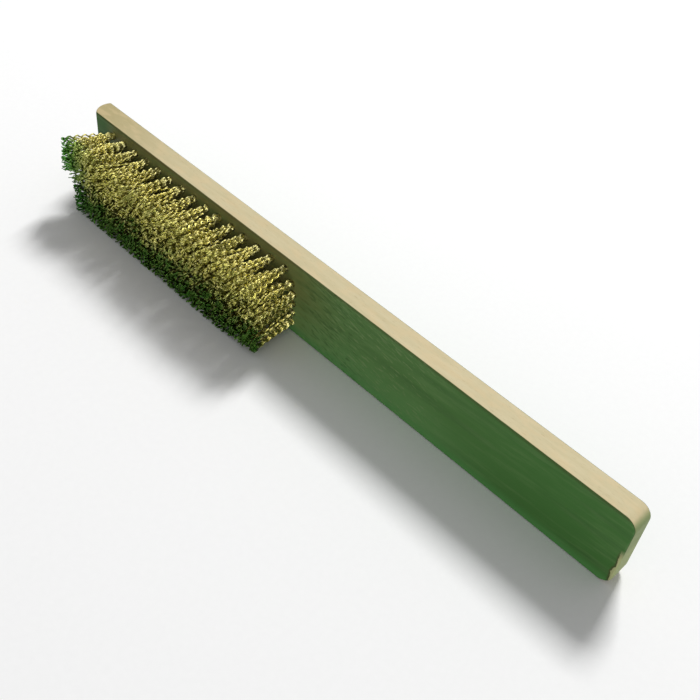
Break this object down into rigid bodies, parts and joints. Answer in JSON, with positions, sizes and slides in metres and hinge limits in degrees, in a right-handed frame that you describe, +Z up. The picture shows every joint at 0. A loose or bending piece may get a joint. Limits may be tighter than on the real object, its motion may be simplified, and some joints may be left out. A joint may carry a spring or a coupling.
{
  "type": "wire brush",
  "caption": "Hand wire brush: a flat straight wooden handle with a dense field of crimped brass wire tufts along its head.",
  "frame": {"origin": "middle of the brush's footprint, on the surface it lies on", "axes": "+X along the handle from the bristled head to the handle end, -Y the way the wires point, +Y out of the plain back face, +Z up across the handle's width, because the brush lies on one narrow side"},
  "size_m": [0.2845, 0.0316, 0.035],
  "materials": {
    "handle_wood": "thin green stain on the broad faces, bare planed wood on the narrow sides and rounded corners",
    "bristle_wire": "bright drawn crimped brass wire, slightly tarnished",
    "anchor_wire": "plain drawn flat wire"
  },
  "bodies": {
    "root": {"handle_block": "handle_wood", "tufts_column_01": "bristle_wire", "tufts_column_02": "bristle_wire", "tufts_column_03": "bristle_wire", "tufts_column_04": "bristle_wire", "tufts_column_05": "bristle_wire", "tufts_column_06": "bristle_wire", "tufts_column_07": "bristle_wire", "tufts_column_08": "bristle_wire", "tufts_column_09": "bristle_wire", "tufts_column_10": "bristle_wire", "tufts_column_11": "bristle_wire", "tufts_column_12": "bristle_wire", "tufts_column_13": "bristle_wire", "tufts_column_14": "bristle_wire", "tufts_column_15": "bristle_wire", "anchors_column_01": "anchor_wire", "anchors_column_02": "anchor_wire", "anchors_column_03": "anchor_wire", "anchors_column_04": "anchor_wire", "anchors_column_05": "anchor_wire", "anchors_column_06": "anchor_wire", "anchors_column_07": "anchor_wire", "anchors_column_08": "anchor_wire", "anchors_column_09": "anchor_wire", "anchors_column_10": "anchor_wire", "anchors_column_11": "anchor_wire", "anchors_column_12": "anchor_wire", "anchors_column_13": "anchor_wire", "anchors_column_14": "anchor_wire", "anchors_column_15": "anchor_wire"}
  },
  "joints": []
}
